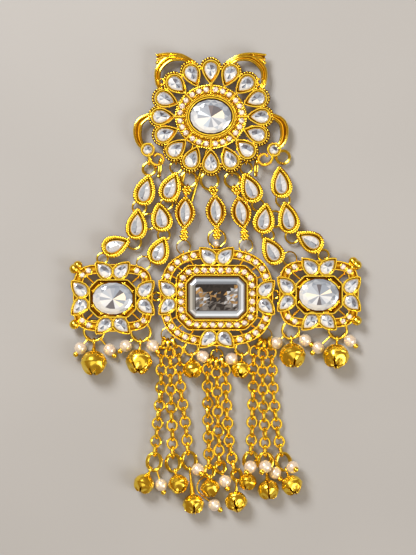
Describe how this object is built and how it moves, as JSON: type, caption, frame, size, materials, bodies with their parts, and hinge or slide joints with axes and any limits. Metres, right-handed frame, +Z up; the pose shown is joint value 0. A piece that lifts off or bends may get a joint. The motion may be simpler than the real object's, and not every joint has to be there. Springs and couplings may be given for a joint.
{
  "type": "hair brooch",
  "caption": "Gold hair brooch: a stone-set rosette, chains of pear links and marquise drops, three framed medallions, and chain tassels with round bells and pearls.",
  "frame": {"origin": "centre of the bounding box on the surface that the brooch lies on", "axes": "+Y from the tassels towards the rosette's horns, +X to the picture's right, +Z up from the surface to the stones"},
  "size_m": [0.0936, 0.1484, 0.0086],
  "materials": {
    "gold": "polished yellow gold plate",
    "crystal": "faceted, foil-backed",
    "smoked_crystal": "faceted, dark inner facets"
  },
  "bodies": {
    "root": {"bell_middle_1": "gold", "bell_middle_2": "gold", "bell_ring_middle_1": "gold", "bell_ring_middle_2": "gold", "bell_ring_side_1": "gold", "bell_ring_side_2": "gold", "bell_ring_side_3": "gold", "bell_ring_side_4": "gold", "bell_side_1": "gold", "bell_side_2": "gold", "bell_side_3": "gold", "bell_side_4": "gold", "centre_frame": "gold", "centre_stone": "smoked_crystal", "hair_pin": "gold", "hanging_ring_left": "gold", "hanging_ring_middle": "gold", "hanging_ring_right": "gold", "left_frame": "gold", "left_stone": "crystal", "marquise_drop_left": "gold", "marquise_drop_middle": "gold", "marquise_drop_right": "gold", "pear_link_inner_left_1": "gold", "pear_link_inner_left_2": "gold", "pear_link_inner_left_3": "gold", "pear_link_inner_right_1": "gold", "pear_link_inner_right_2": "gold", "pear_link_inner_right_3": "gold", "pear_link_outer_left_1": "gold", "pear_link_outer_left_2": "gold", "pear_link_outer_left_3": "gold", "pear_link_outer_right_1": "gold", "pear_link_outer_right_2": "gold", "pear_link_outer_right_3": "gold", "right_frame": "gold", "right_stone": "crystal", "rosette_frame": "gold", "rosette_stone": "crystal", "tassel_bell_left_1": "gold", "tassel_bell_left_2": "gold", "tassel_bell_left_3": "gold", "tassel_bell_middle_1": "gold", "tassel_bell_middle_3": "gold", "tassel_bell_right_1": "gold", "tassel_bell_right_2": "gold", "tassel_bell_right_3": "gold", "tassel_chain_left_1": "gold", "tassel_chain_left_2": "gold", "tassel_chain_left_3": "gold", "tassel_chain_middle_1": "gold", "tassel_chain_middle_2": "gold", "tassel_chain_middle_3": "gold", "tassel_chain_right_1": "gold", "tassel_chain_right_2": "gold", "tassel_chain_right_3": "gold", "tassel_ring_left": "gold", "tassel_ring_middle": "gold", "tassel_ring_right": "gold"}
  },
  "joints": []
}
